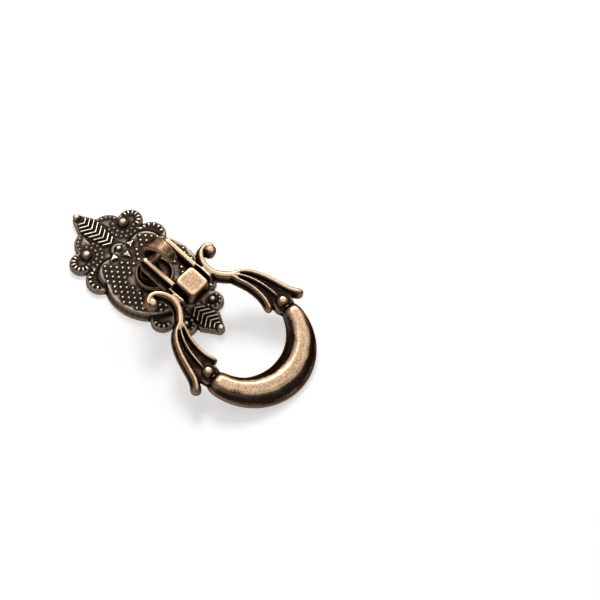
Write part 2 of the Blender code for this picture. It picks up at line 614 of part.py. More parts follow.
def fan_floor():
    """The sunk floor between the inner and the outer rib of a leg."""
    outer = smooth_line(leg_line(OUTER_RIB_LINE, LEG_FORK))
    inner = smooth_line(leg_line(INNER_RIB_LINE, LEG_FORK))
    rings = []
    steps = 10
    for step in range(1, steps + 1):
        t = step / steps
        a = inner[round(t * (len(inner) - 1))]
        b = outer[round(t * (len(outer) - 1))]
        rings.append([Vector((p.x, p.y, z)) for p, z in (
            (a, LEG_BACK), (a, GROOVE_FLOOR), (b, GROOVE_FLOOR), (b, LEG_BACK))])
    bm = bmesh.new()
    skin(bm, rings)
    return bm


def cheek():
    """A side cheek: round at the hinge line, with a sunk panel on its outer face."""
    middle = (CHEEK_RISE + DROP_BACK) / 2
    radius = (CHEEK_RISE - DROP_BACK) / 2
    outline = [(-radius * sin(radians(a)), middle + radius * cos(radians(a))) for a in range(0, 181, 15)]
    outline += [(CHEEK_FRONT, DROP_BACK), (CHEEK_FRONT, CHEEK_RISE + CHEEK_CLIMB)]
    bm = bmesh.new()
    face = bm.faces.new([bm.verts.new((CHEEK_GAP_HALF, -along, level)) for along, level in outline])
    grown = bmesh.ops.extrude_face_region(bm, geom=[face])
    verts = [item for item in grown["geom"] if isinstance(item, bmesh.types.BMVert)]
    bmesh.ops.translate(bm, verts=verts, vec=(CHEEK_THICKNESS, 0, 0))
    bmesh.ops.recalc_face_normals(bm, faces=bm.faces)
    outer = [item for item in grown["geom"] if isinstance(item, bmesh.types.BMFace)]
    bmesh.ops.inset_region(bm, faces=outer, thickness=CHEEK_PANEL_BORDER, depth=0)
    bmesh.ops.inset_region(bm, faces=outer, thickness=CHEEK_PANEL_DEPTH / 2, depth=-CHEEK_PANEL_DEPTH)
    return bm


def wall(stations, inner, outer):
    """A thin wall along the drop. A station is (along, level of the top, share of the full thickness)."""
    middle, half = (inner + outer) / 2, (outer - inner) / 2
    rings = []
    for along, top, share in stations:
        thick = half * share
        soft = thick / 2
        rings.append([(middle + x, -along, level) for x, level in (
            (-thick, DROP_BACK), (-thick, top - soft), (-soft, top), (soft, top), (thick, top - soft),
            (thick, DROP_BACK))])
    bm = bmesh.new()
    skin(bm, rings)
    return bm


def rail():
    """The low rail along the foot of a cheek's outer face."""
    outer = CHEEK_GAP_HALF + CHEEK_THICKNESS + RAIL_THICKNESS
    stations = ((RAIL_REAR - RAIL_THICKNESS, RAIL_LEVEL - RAIL_THICKNESS, 0.6), (RAIL_REAR, RAIL_LEVEL, 1),
                (RAIL_FRONT, RAIL_LEVEL, 1))
    return wall(stations, outer - 3 * RAIL_THICKNESS, outer)


def fin():
    """The thin fin between the knuckle block and a scroll, which grows towards the ring."""
    stations = ((FIN_REAR, FIN_REAR_LEVEL, 0.45), (FIN_FRONT, FIN_FRONT_LEVEL, 1),
                (FIN_FRONT + FIN_THICKNESS, FIN_FRONT_LEVEL - FIN_THICKNESS, 0.7))
    return wall(stations, FIN_X - FIN_THICKNESS / 2, FIN_X + FIN_THICKNESS / 2)


def knuckle():
    """The square block between the cheeks and the legs, wider at its foot."""
    middle = (BLOCK_REAR + BLOCK_FRONT) / 2
    depth = (BLOCK_FRONT - BLOCK_REAR) / 2
    bm = bmesh.new()
    bmesh.ops.create_cube(bm, size=2, matrix=Matrix.Translation((0, -middle, 0)))
    for vert in bm.verts:
        top = vert.co.z > 0
        front = vert.co.y < -middle
        spread = 0 if top else BLOCK_FLARE
        vert.co.x = (BLOCK_HALF_WIDTH + spread) * (1 if vert.co.x > 0 else -1)
        vert.co.y = -middle + (depth + spread) * (-1 if front else 1)
        vert.co.z = (BLOCK_FRONT_LEVEL if front else BLOCK_REAR_LEVEL) if top else DROP_BACK
    upright = [e for e in bm.edges if abs(e.verts[0].co.z - e.verts[1].co.z) > BLOCK_REAR_LEVEL]
    chamfer(bm, upright, BLOCK_CORNER, 3)
    upper = [e for e in bm.edges if min(v.co.z for v in e.verts) > BLOCK_REAR_LEVEL - BLOCK_EDGE]
    chamfer(bm, upper, BLOCK_EDGE)
    return bm


def plinth():
    """The wider foot that carries the block, the cheeks and the roots of the legs."""
    wide = BLOCK_HALF_WIDTH + BLOCK_FLARE + PLINTH_MARGIN / 2
    rear, front = -(BLOCK_REAR - BLOCK_FLARE), -(BLOCK_FRONT + BLOCK_FLARE + PLINTH_MARGIN / 2)
    corner = BLOCK_CORNER
    half = [(wide, rear), (wide, front + corner), (wide - 0.3 * corner, front + 0.3 * corner),
            (wide - corner, front)]
    outline = half + [(-x, y) for x, y in reversed(half)]
    return slab(outline, DROP_BACK, PLINTH_LEVEL, BLOCK_EDGE / 2)


def web():
    """The sunk floor between the block and the rails."""
    wide = FIN_X + FIN_THICKNESS
    rear, front = -(BLOCK_REAR - BLOCK_FLARE / 2), -(FIN_FRONT - FIN_THICKNESS / 2)
    outline = [(wide, rear), (wide, front), (-wide, front), (-wide, rear)]
    return slab(outline, DROP_BACK, DROP_BACK + RAIL_THICKNESS)


def reach(angle, radius, centre):
    """Distance from the sweep centre of the ring to a circle on its centre line, in a given direction."""
    offset = RING_SWEEP_CENTRE - centre
    return -offset * cos(angle) + sqrt(radius ** 2 - (offset * sin(angle)) ** 2)


def ring():
    """The crescent: its section grows towards the bottom and rounds off at both ends."""
    rings = []
    for step in range(RING_STEPS + 1):
        angle = radians(RING_END_ANGLE) * (2 * step / RING_STEPS - 1)
        outer = reach(angle, RING_OUTER_RADIUS, RING_OUTER_CENTRE)
        inner = reach(angle, RING_INNER_RADIUS, RING_INNER_CENTRE)
        crest_outer = reach(angle, RING_CREST_OUTER_RADIUS, RING_CREST_OUTER_CENTRE)
        crest_inner = reach(angle, RING_CREST_INNER_RADIUS, RING_CREST_INNER_CENTRE)
        middle = (crest_outer + crest_inner) / 2
        fade = min(1.0, sqrt((0.5 + min(step, RING_STEPS - step)) / RING_FADE_STEPS))
        rise = (RING_CREST - LEDGE_LEVEL) * fade
        crest = LEDGE_LEVEL + rise
        spread = (crest_outer - crest_inner) / 2
        ledge = RING_LEDGE * (outer - crest_outer)
        section = (
            (inner, DROP_BACK), (inner, LEDGE_LEVEL), (crest_inner - 0.5 * spread, crest - 0.53 * rise),
            (crest_inner, crest - 0.2 * rise), (middle - 0.5 * spread, crest - 0.03 * rise),
            (middle, crest), (middle + 0.5 * spread, crest - 0.03 * rise), (crest_outer, crest - 0.2 * rise),
            (outer - ledge, LEDGE_LEVEL + 0.25 * rise), (outer - ledge / 2, LEDGE_LEVEL + 0.14 * rise),
            (outer, (2 * LEDGE_LEVEL + DROP_BACK) / 3), (outer, DROP_BACK))
        narrow = 0.55 + 0.45 * fade
        rings.append([(
            (middle + (r - middle) * narrow) * sin(angle),
            -(RING_SWEEP_CENTRE + (middle + (r - middle) * narrow) * cos(angle)), z) for r, z in section])
    bm = bmesh.new()
    skin(bm, rings)
    return bm


def cross_bar():
    """The round bar that lies in the hook, between the cheeks."""
    bm = bmesh.new()
    bmesh.ops.create_cone(bm, cap_ends=True, segments=20, radius1=BAR_RADIUS, radius2=BAR_RADIUS,
                          depth=2 * CHEEK_GAP_HALF + CHEEK_THICKNESS, matrix=Matrix.Rotation(pi / 2, 4, "Y"))
    return bm


def balls():
    """The eye of a scroll and the ball at the end of a leg."""
    bm = bmesh.new()
    bead(bm, SCROLL_EYE[0], -SCROLL_EYE[1], SCROLL_CREST - SCROLL_EYE_RADIUS, SCROLL_EYE_RADIUS)
    bead(bm, END_BALL[0], -END_BALL[1], END_BALL_CREST - END_BALL_RADIUS, END_BALL_RADIUS)
    return bm


def drop_tilt():
    """The angle at which the back of the ring's foot lies one seat gap above the mounting surface."""
    length = RING_OUTER_CENTRE + RING_OUTER_RADIUS
    return asin((HINGE_Z - SEAT_GAP) / hypot(length, DROP_BACK)) - atan2(-DROP_BACK, length)


def build_drop_handle(collection, metal, post_axis):
    """One casting: ring, legs, knuckle block, cheeks and cross bar, hung from the hinge line."""
    hinge = bpy.data.objects.new("drop_hinge", None)
    hinge.parent = post_axis
    hinge.location = (0, HINGE_Y, HINGE_Z)
    hinge.rotation_euler = (drop_tilt(), 0, 0)
    collection.objects.link(hinge)
    drop = make_object("drop_handle", ring(), collection, metal, parent=hinge)
    scroll = smooth_line(leg_line(SCROLL_LINE) + [Vector((LEG_FORK[0], -LEG_FORK[1], 0))])
    scrolls = moulding(scroll, SCROLL_HALF_WIDTHS, (SCROLL_CREST, SCROLL_CREST), SCROLL_FULLNESS)
    shape_with(drop, "scrolls", scrolls, mirrored=True)
    shape_with(drop, "fan_floors", fan_floor(), mirrored=True)
    edge_crests = (SCROLL_CREST, RIB_TIP_CREST)
    middle_crests = (MIDDLE_RIB_CREST, MIDDLE_RIB_TIP_CREST)
    for name, points, widths, crests, floor, ledge in (
            ("outer_ribs", OUTER_RIB_LINE, OUTER_RIB_HALF_WIDTHS, edge_crests, LEG_BACK, LEDGE_LEVEL),
            ("middle_ribs", MIDDLE_RIB_LINE, MIDDLE_RIB_HALF_WIDTHS, middle_crests, GROOVE_FLOOR - SUNK,
             GROOVE_FLOOR - SUNK / 2),
            ("inner_ribs", INNER_RIB_LINE, INNER_RIB_HALF_WIDTHS, edge_crests, LEG_BACK, LEDGE_LEVEL)):
        line = smooth_line(leg_line(points, LEG_FORK))
        shape_with(drop, name, moulding(line, widths, crests, RIB_FULLNESS, floor, ledge), mirrored=True)
    eye_foot = cylinder(0.9 * SCROLL_EYE_RADIUS, LEG_BACK, SCROLL_CREST - SCROLL_EYE_RADIUS, 16,
                        SCROLL_EYE[0], -SCROLL_EYE[1])
    shape_with(drop, "eye_feet", eye_foot, mirrored=True)
    neck = cylinder(NECK_RADIUS, DROP_BACK, NECK_LEVEL, 20, END_BALL[0], -END_BALL[1] - NECK_RADIUS / 4)
    shape_with(drop, "necks", neck, mirrored=True)
    shape_with(drop, "balls", balls(), mirrored=True)
    shape_with(drop, "plinth", plinth())
    shape_with(drop, "web", web())
    shape_with(drop, "knuckle_block", knuckle())
    shape_with(drop, "rails", rail(), mirrored=True)
    shape_with(drop, "fins", fin(), mirrored=True)
    shape_with(drop, "cross_bar", cross_bar())
    shape_with(drop, "cheeks", cheek(), mirrored=True)
    return drop


def main():
    clear_scene()
    parts = make_collection(PARTS)
    make_collection(TOOLS)
    dark_brass = make_metal("darkened_brass", (0.17, 0.145, 0.115), 0.5)
    worn_brass = make_metal("worn_brass", (0.5, 0.37, 0.25), 0.38)
    post_axis = bpy.data.objects.new("post_axis", None)
    post_axis.location = (0, POST_Y, 0)
    parts.objects.link(post_axis)
    build_back_plate(parts, dark_brass, post_axis)
    build_hook_post(parts, worn_brass, post_axis)
    build_drop_handle(parts, worn_brass, post_axis)


main()
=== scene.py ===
# %% [markdown]
# # A drop pull in antique brass
#
# A drop pull is the small handle of a drawer. A flat, richly modelled back plate sits on the drawer front,
# a post with an open hook stands on it, and a loop of brass hangs in the hook and swings up to meet the
# fingers. All three are castings. This lesson takes them from a plain CAD frame to something that looks
# cast, darkened in a bath and rubbed bright again by hand.
#
# The frame holds the true sizes, so it is loaded first and never changed.

import json
import math

import bmesh
import bpy
import numpy as np
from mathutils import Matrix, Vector


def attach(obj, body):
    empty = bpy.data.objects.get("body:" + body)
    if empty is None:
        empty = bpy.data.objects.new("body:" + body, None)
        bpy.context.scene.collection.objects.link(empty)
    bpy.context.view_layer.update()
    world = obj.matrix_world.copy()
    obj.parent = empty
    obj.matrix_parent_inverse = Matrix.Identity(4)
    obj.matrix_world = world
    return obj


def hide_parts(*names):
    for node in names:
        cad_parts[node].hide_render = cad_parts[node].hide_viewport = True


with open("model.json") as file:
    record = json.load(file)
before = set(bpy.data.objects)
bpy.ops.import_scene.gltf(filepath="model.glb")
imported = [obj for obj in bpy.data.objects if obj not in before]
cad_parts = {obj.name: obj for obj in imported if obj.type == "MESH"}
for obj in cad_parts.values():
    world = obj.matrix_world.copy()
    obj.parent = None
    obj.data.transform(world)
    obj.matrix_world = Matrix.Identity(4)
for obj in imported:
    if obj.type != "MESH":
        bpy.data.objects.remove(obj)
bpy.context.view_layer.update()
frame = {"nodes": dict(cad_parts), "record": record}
MM = 0.001

# %% [markdown]
# ## The camera
#
# A product photographer stands back and uses a long lens, so that near and far parts of a small object keep
# their proportions. The pull lies on a table and is seen from over its lower left, from a height of a
# little under sixty degrees. The distance sets how strongly things shrink as they recede, and the lens then
# sets how large the pull appears. Both were found by matching the corners of the plate and of the ring.

# %% Place the camera
CAMERA_PLACE = Vector((-257.9, -274.1, 591.3)) * MM
CAMERA_AIM = Vector((22.6, -25.9, 0.0)) * MM
LENS_MM = 148.5
SENSOR_MM = 36.0
NEAREST_SEEN = 0.01
FARTHEST_SEEN = 50.0

camera = bpy.data.objects.new("camera", bpy.data.cameras.new("camera"))
camera.data.lens = LENS_MM
camera.data.sensor_width = SENSOR_MM
camera.data.clip_start = NEAREST_SEEN
camera.data.clip_end = FARTHEST_SEEN
camera.location = CAMERA_PLACE
camera.rotation_euler = (CAMERA_AIM - CAMERA_PLACE).to_track_quat("-Z", "Y").to_euler()
bpy.context.scene.collection.objects.link(camera)
bpy.context.scene.camera = camera
bpy.context.scene.view_settings.view_transform = "Standard"
print("camera distance in mm:", round((CAMERA_AIM - CAMERA_PLACE).length / MM))

# %% [markdown]
# ## The table
#
# The table is a sheet of white board. It only has to be flat and to reach past the edges of the picture, so
# one filled circle is enough.

# %% Cut the board
BOARD_RADIUS = 3.0


def make_board(name, radius):
    """A large flat board whose top is the surface that the pull lies on."""
    bm = bmesh.new()
    bmesh.ops.create_circle(bm, cap_ends=True, segments=64, radius=radius)
    mesh = bpy.data.meshes.new(name)
    bm.to_mesh(mesh)
    bm.free()
    board = bpy.data.objects.new(name, mesh)
    bpy.context.scene.collection.objects.link(board)
    return board


board = make_board("table", BOARD_RADIUS)
print("table radius in m:", BOARD_RADIUS)

# %% [markdown]
# ### White that stays white
#
# In a photograph such a board is lit until it is nearly pure white, while the pull still leaves a soft
# shadow on it. More light would bleach the metal too, so the board gets a little glow of its own, seen only
# by the camera and by reflections. A Light Path node tells which rays those are.

# %% Paint the board
WHITE = (1, 1, 1, 1)
BOARD_WHITE = (0.87, 0.855, 0.84, 1)
BOARD_ROUGHNESS = 0.9
BOARD_GLOW = 0.54


def link_nodes(tree, pairs):
    """Connects sockets of a node tree, given as (output, input) pairs."""
    for source, target in pairs:
        tree.links.new(source, target)


def seen_factor(tree):
    """1 for rays from the camera and for those that come by way of a gloss or a clear body, otherwise 0."""
    path = tree.nodes.new("ShaderNodeLightPath")
    first = tree.nodes.new("ShaderNodeMath")
    first.operation = "MAXIMUM"
    second = tree.nodes.new("ShaderNodeMath")
    second.operation = "MAXIMUM"
    link_nodes(tree, [
        (path.outputs["Is Camera Ray"], first.inputs[0]),
        (path.outputs["Is Glossy Ray"], first.inputs[1]),
        (first.outputs[0], second.inputs[0]),
        (path.outputs["Is Transmission Ray"], second.inputs[1]),
    ])
    return second.outputs[0]


def board_material(name, glow):
    """White board with a faint glow for the camera and for reflections."""
    material = bpy.data.materials.new(name)
    material.use_nodes = True
    tree = material.node_tree
    shader = tree.nodes["Principled BSDF"]
    shader.inputs["Base Color"].default_value = BOARD_WHITE
    shader.inputs["Roughness"].default_value = BOARD_ROUGHNESS
    shader.inputs["Emission Color"].default_value = WHITE
    strength = tree.nodes.new("ShaderNodeMath")
    strength.operation = "MULTIPLY"
    strength.inputs[1].default_value = glow
    link_nodes(tree, [
        (seen_factor(tree), strength.inputs[0]),
        (strength.outputs[0], shader.inputs["Emission Strength"]),
    ])
    return material


board.data.materials.append(board_material("white_board", BOARD_GLOW))
print("board finish:", board.data.materials[0].name, "glow:", BOARD_GLOW)

# %% [markdown]
# ## Daylight
#
# Everything but the board's glow comes from a plain pale surrounding and from soft boxes. The surrounding
# is dim, so that shadows stay, but it looks white where the camera or a reflection meets it, as the walls
# of a white room would.

# %% Surround the table
WORLD_LEVEL = 0.12


def make_world(level):
    """A plain pale surrounding. It looks white where the camera or a reflection meets it."""
    world = bpy.data.worlds.new("studio")
    world.use_nodes = True
    tree = world.node_tree
    background = tree.nodes["Background"]
    background.inputs["Color"].default_value = WHITE
    spread = tree.nodes.new("ShaderNodeMapRange")
    spread.inputs["To Min"].default_value = level
    spread.inputs["To Max"].default_value = 1.0
    link_nodes(tree, [
        (seen_factor(tree), spread.inputs["Value"]),
        (spread.outputs["Result"], background.inputs["Strength"]),
    ])
    bpy.context.scene.world = world
    return world


world = make_world(WORLD_LEVEL)
print("surrounding:", world.name, "level:", WORLD_LEVEL)

# %% [markdown]
# ### Soft boxes
#
# A soft box is a lamp behind a sheet of cloth, and an area lamp does the same. The largest share of light
# comes from the one behind the pull, so that the shadow falls towards the camera. The weak ones above, on
# the right and on the left only put a glint on edges that would be dull otherwise.

# %% Set up the soft boxes
LAMP_AIM = Vector((0, -0.01, 0))


def soft_box(name, place, size, watts):
    """A rectangular area lamp that faces the pull. Its place and size are in metres."""
    lamp = bpy.data.lights.new(name, "AREA")
    lamp.shape = "RECTANGLE"
    lamp.size, lamp.size_y = size
    lamp.energy = watts
    holder = bpy.data.objects.new(name, lamp)
    holder.location = place
    holder.rotation_euler = (LAMP_AIM - Vector(place)).to_track_quat("-Z", "Y").to_euler()
    bpy.context.scene.collection.objects.link(holder)
    return holder


lamps = [
    soft_box("box_back", place=(0.58, 0.50, 0.84), size=(0.4, 0.34), watts=5.4),
    soft_box("box_right", place=(0.85, 0.1, 0.65), size=(0.42, 0.36), watts=1.6),
    soft_box("box_above", place=(0.1, 0.4, 0.95), size=(0.5, 0.45), watts=0.8),
    soft_box("box_left", place=(-0.7, 0.3, 0.5), size=(0.4, 0.3), watts=0.5),
]
print("lamps in watts:", {lamp.name: round(lamp.data.energy, 2) for lamp in lamps})

# %% [markdown]
# ## From a faceted frame to a casting
#
# The plate, the post and the drop come out of the frame as loose triangles with sharp edges. The frame
# itself stays as it is, so each casting starts as a copy, and its loose triangles are merged into one
# closed surface first.

# %% Copy the castings
MERGE_WITHIN = 0.002 * MM


def copy_of_node(node, name):
    """A separate copy of a CAD node, with its loose triangles merged."""
    bm = bmesh.new()
    bm.from_mesh(frame["nodes"][node].data)
    bmesh.ops.remove_doubles(bm, verts=bm.verts, dist=MERGE_WITHIN)
    mesh = bpy.data.meshes.new(name)
    bm.to_mesh(mesh)
    bm.free()
    mesh.materials.clear()
    obj = bpy.data.objects.new(name, mesh)
    bpy.context.scene.collection.objects.link(obj)
    return obj


plate = copy_of_node("back_plate", "plate_casting")
post = copy_of_node("hook_post", "post_casting")
drop = copy_of_node("drop_handle", "drop_casting")
print("corners:", {casting.name: len(casting.data.vertices) for casting in (plate, post, drop)})

# %% [markdown]
# ### One even skin
#
# Molten brass never fills a mould quite sharply, and castings are tumbled afterwards, so every edge is
# round and every corner between two forms has a small fillet. Bevels on hundreds of separate edges would be
# slow and would miss the corners. A voxel remesh does what the foundry does: it fills the whole form with
# tiny cubes and wraps one even skin round them. The cubes are a little smaller than one pixel of a picture
# that is 600 pixels wide.

# %% Wrap the castings
def wrap_in_skin(obj, grain):
    """Replaces the mesh by one even skin of small squares."""
    wrap = obj.modifiers.new("skin", "REMESH")
    wrap.mode = "VOXEL"
    wrap.voxel_size = grain
    graph = bpy.context.evaluated_depsgraph_get()
    skin = bpy.data.meshes.new_from_object(obj.evaluated_get(graph))
    obj.modifiers.remove(wrap)
    old = obj.data
    obj.data = skin
    skin.name = obj.name
    bpy.data.meshes.remove(old)


wrap_in_skin(plate, grain=0.2 * MM)
wrap_in_skin(post, grain=0.16 * MM)
wrap_in_skin(drop, grain=0.21 * MM)
print("squares:", {casting.name: len(casting.data.polygons) for casting in (plate, post, drop)})

# %% [markdown]
# ### Melted steps
#
# The skin still shows the steps of the cubes. A few rounds of smoothing, in which each point moves half the
# way to the mean of its neighbours, melt them away. The plate gets the fewest, because its dots and
# chevrons are small and would melt too. The post is one thick plain form and gets the most.

# %% Melt the steps
SMOOTH_SHARE = 0.5


def soften(obj, rounds):
    """Melts the steps of the skin, and rounds its edges by the same amount everywhere."""
    bm = bmesh.new()
    bm.from_mesh(obj.data)
    for _ in range(rounds):
        bmesh.ops.smooth_vert(bm, verts=bm.verts, factor=SMOOTH_SHARE,
                              use_axis_x=True, use_axis_y=True, use_axis_z=True)
    bm.to_mesh(obj.data)
    bm.free()
    obj.data.shade_smooth()


soften(plate, rounds=2)
soften(post, rounds=14)
soften(drop, rounds=5)
for casting in (plate, post, drop):
    lowest = min(point.co.z for point in casting.data.vertices)
    print(casting.name, "lowest point in mm:", round(lowest / MM, 2))

# %% [markdown]
# ### On their bodies
#
# Each casting takes the place of its CAD node and moves with the body that the node belongs to. Plate and
# post are clamped together, so they share one body, and the drop has its own.

# %% Hang the castings on their bodies
BODIES = frame["record"]["behaviour"]["bodies"]


def hang(obj, node):
    """Puts a finished casting in the place of its CAD node and on the body that the node moves with."""
    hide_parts(node)
    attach(obj, next(body for body, members in BODIES.items() if node in members))
    print(obj.name, "has", sum(len(face.vertices) - 2 for face in obj.data.polygons), "triangles")


hang(plate, "back_plate")
hang(post, "hook_post")
hang(drop, "drop_handle")

# %% [markdown]
# ## Where hands and cloths reach, and where light is painted
#
# Antique brass is made in reverse: the whole casting is turned brown-black in a bath, and a cloth then rubs
# the high places until bright metal shows. What stays dark is whatever the cloth can't reach. Four measures
# tell a material how far it can reach, and where to paint highlights, shade and a reflection, and all are
# stored on the mesh, one number for each point. The Pointiness of a Geometry node tells crests from hollows
# too, but only from the nearest points, and here the wider neighbourhood counts as well.
#
# The measures need the points of a casting as rows of numbers, and the two ends of each edge.

# %% Read a casting as numbers
def read_vectors(collection, field, count):
    """The three numbers of each item of a mesh collection, as rows."""
    flat = np.empty(count * 3, dtype=np.float32)
    collection.foreach_get(field, flat)
    return flat.reshape(count, 3).astype(np.float64)


def read_links(mesh):
    """The two ends of every edge, and how many edges meet at each point."""
    ends = np.empty(len(mesh.edges) * 2, dtype=np.int32)
    mesh.edges.foreach_get("vertices", ends)
    first, second = ends.reshape(-1, 2).T
    count = len(mesh.vertices)
    return first, second, np.bincount(first, minlength=count) + np.bincount(second, minlength=count)


def store(mesh, name, values):
    """Keeps one number for each point under a name that a material can read."""
    layer = mesh.attributes.new(name, "FLOAT", "POINT")
    layer.data.foreach_set("value", values.astype(np.float32))


print("edges:", {casting.name: len(casting.data.edges) for casting in (plate, post, drop)})

# %% [markdown]
# ### Crests and hollows
#
# Two of the measures say how far a point stands out of its neighbourhood. They are found by comparing the
# surface with smoothed copies of itself: a point above its copy is on a crest, and one below it is in a
# hollow. A few rounds of smoothing find small crests such as dots, and many rounds find wide ones.

# %% Measure what stands out
NEAR_ROUNDS = 8
WIDE_ROUNDS = 60
KEPT_SHARE = 0.4
SHOWN_PERCENTS = (5, 50, 95)


def calmed(values, links, rounds):
    """Rows of numbers, each drawn towards the mean of its neighbours again and again."""
    first, second, meeting = links
    count = len(values)
    calm = values.copy()
    for _ in range(rounds):
        total = np.empty_like(calm)
        for column in range(calm.shape[1]):
            total[:, column] = (np.bincount(first, calm[second, column], count)
                                + np.bincount(second, calm[first, column], count))
        mean = total / np.maximum(meeting, 1)[:, None]
        calm = KEPT_SHARE * calm + (1 - KEPT_SHARE) * mean
    return calm


def measure_crests(obj):
    """Stores how far each point stands out, in mm, of what is near by and of a wider neighbourhood."""
    count = len(obj.data.vertices)
    points = read_vectors(obj.data.vertices, "co", count) / MM
    normals = read_vectors(obj.data.vertices, "normal", count)
    links = read_links(obj.data)
    for name, rounds in (("fine", NEAR_ROUNDS), ("broad", WIDE_ROUNDS)):
        out = ((points - calmed(points, links, rounds)) * normals).sum(axis=1)
        store(obj.data, name, out)
        shown = [round(float(value), 3) for value in np.percentile(out, SHOWN_PERCENTS)]
        print(obj.name, name, "in mm:", shown)


for casting in (plate, post, drop):
    measure_crests(casting)

# %% [markdown]
# ### Faces and levels
#
# The third measure is how squarely the surface faces the front, where the hand comes from, and the fourth
# how high it lies on the casting, from 0 to 1. Besides wear, they place painted highlights on faces that
# look to the front, and painted shade on those that turn away and on the low parts of the post. Plate and
# post face straight out from the drawer. The drop leans a little at rest, so its front and its heights are
# taken along that lean and from its hinge. They stay right when it swings, because they are stored on the
# casting.

# %% Measure faces and levels
DROP_LEAN = math.radians(13.3)
DROP_FRONT = (0.0, -math.sin(DROP_LEAN), math.cos(DROP_LEAN))
HINGE_MM = (0.0, 7.1, 15.9)
PULL_FRONT = (0, 0, 1)
DRAWER_MM = (0, 0, 0)


def measure_front(obj, front, origin_mm, low_mm, high_mm):
    """Stores how squarely each point faces the front, and its level between the low and the high one."""
    count = len(obj.data.vertices)
    points = read_vectors(obj.data.vertices, "co", count) / MM
    normals = read_vectors(obj.data.vertices, "normal", count)
    height = (points - np.array(origin_mm)) @ np.array(front)
    level = np.clip((height - low_mm) / (high_mm - low_mm), 0.0, 1.0)
    store(obj.data, "facing", normals @ np.array(front))
    store(obj.data, "level", level)
    print(obj.name, "heights in mm:", [round(float(value), 1) for value in (height.min(), height.max())])


measure_front(plate, PULL_FRONT, DRAWER_MM, low_mm=2.4, high_mm=3.0)
# On the post the level stays low below 9 mm, so its low parts between the cheeks of the drop stay dark:
# painted shade over oxide.
measure_front(post, PULL_FRONT, DRAWER_MM, low_mm=9.0, high_mm=17.0)
# On the drop only the top of each section counts as high, which keeps the painted highlight on the crests.
measure_front(drop, DROP_FRONT, HINGE_MM, low_mm=-1.0, high_mm=0.9)

# %% [markdown]
# ## Antique brass
#
# The finish has three layers: warm bright brass where it was rubbed, a brown skin where the cloth only
# brushed by, and nearly black oxide in the hollows. Painting them by hand on a picture would need a flat
# pattern of each casting. Nodes can work them out from the four measures instead, and serve all three
# castings. The same nodes lay painted highlights, painted shade and a painted reflection of the table into
# these layers. Each node has to be made, set and linked, so short names for the usual ones come first. A
# Mix node has sockets for numbers, vectors and colours, and those for colours are told apart by their
# place.

# %% Name the nodes
FIRST_COLOUR = 6
SECOND_COLOUR = 7
MIXED_COLOUR = 2


class Mixer:
    """Short names for the nodes that a metal needs."""

    def __init__(self, material):
        self.tree = material.node_tree

    def new(self, kind, **settings):
        node = self.tree.nodes.new("ShaderNode" + kind)
        for key, value in settings.items():
            setattr(node, key, value)
        return node

    def feed(self, target, value):
        """Puts a number, a colour or another node's output on a socket."""
        if isinstance(value, bpy.types.NodeSocket):
            self.tree.links.new(value, target)
        else:
            target.default_value = value

    def math(self, operation, a, b=0.0, clamp=False):
        node = self.new("Math", operation=operation, use_clamp=clamp)
        self.feed(node.inputs[0], a)
        self.feed(node.inputs[1], b)
        return node.outputs[0]

    def ramp(self, value, low, high, bottom=0.0, top=1.0):
        """Goes smoothly from bottom, at low, to top, at high. It may also fall, with low above high."""
        node = self.new("MapRange", interpolation_type="SMOOTHSTEP")
        self.feed(node.inputs["Value"], value)
        for key, number in (("From Min", low), ("From Max", high), ("To Min", bottom), ("To Max", top)):
            node.inputs[key].default_value = number
        return node.outputs["Result"]

    def attribute(self, name):
        return self.new("Attribute", attribute_name=name).outputs["Fac"]

    def noise(self, scale, detail, roughness):
        place = self.new("TexCoord").outputs["Object"]
        node = self.new("TexNoise")
        self.feed(node.inputs["Vector"], place)
        node.inputs["Scale"].default_value = scale
        node.inputs["Detail"].default_value = detail
        node.inputs["Roughness"].default_value = roughness
        return node.outputs["Fac"]

    def blend(self, factor, a, b):
        """The colour a where the factor is 0, and b where it is 1."""
        node = self.new("Mix", data_type="RGBA")
        self.feed(node.inputs[0], factor)
        self.feed(node.inputs[FIRST_COLOUR], a)
        self.feed(node.inputs[SECOND_COLOUR], b)
        return node.outputs[MIXED_COLOUR]


print("a mixer can:", [name for name in vars(Mixer) if not name.startswith("_")])

# %% [markdown]
# ### Uneven wear
#
# Real wear is never even. A fine noise breaks its edge into specks, and a coarse one lets it drift over the
# casting. Both are read on Object coordinates, so they keep their place on the metal when the drop swings.

# %% Break up the wear
SPECK_SCALE = 3200
SPECK_SWAY = 0.16
DRIFT_SCALE = 300
DRIFT_SWAY = 0.14
NOISE_SPAN = (0.3, 0.7)


def uneven_wear(mix):
    """The fine noise alone, and both noises together as a number that sways round zero."""
    specks = mix.noise(SPECK_SCALE, detail=3.0, roughness=0.6)
    drift = mix.noise(DRIFT_SCALE, detail=2.0, roughness=0.5)
    uneven = mix.math("ADD", mix.ramp(specks, *NOISE_SPAN, -SPECK_SWAY, SPECK_SWAY),
                      mix.ramp(drift, *NOISE_SPAN, -DRIFT_SWAY, DRIFT_SWAY))
    return specks, uneven


print("one speck in mm:", round(1 / SPECK_SCALE / MM, 2))
print("one drift in mm:", round(1 / DRIFT_SCALE / MM, 1))

# %% [markdown]
# ### Bright metal and painted highlights
#
# A cloth rubs bare the high faces that look to the front, and the same mask paints a highlight there, so
# that the tops of knobs and crests are bright and the faces below them darker, as painted shade. It also
# catches small crests, even where they lean, with a painted glint on their tips, and the low ones less than
# the high ones. How hard it rubs and how bright the painted highlight is differ from casting to casting, so
# those numbers are given later, with each metal.

# %% Rub the high places and paint their highlights
SQUARE_ON = 0.99
MOUND_RISE_MM = 0.3
CREST_FACING = (0.2, 0.85)
CREST_MM = (0.045, 0.125)
LOW_CREST_SHARE = 0.6


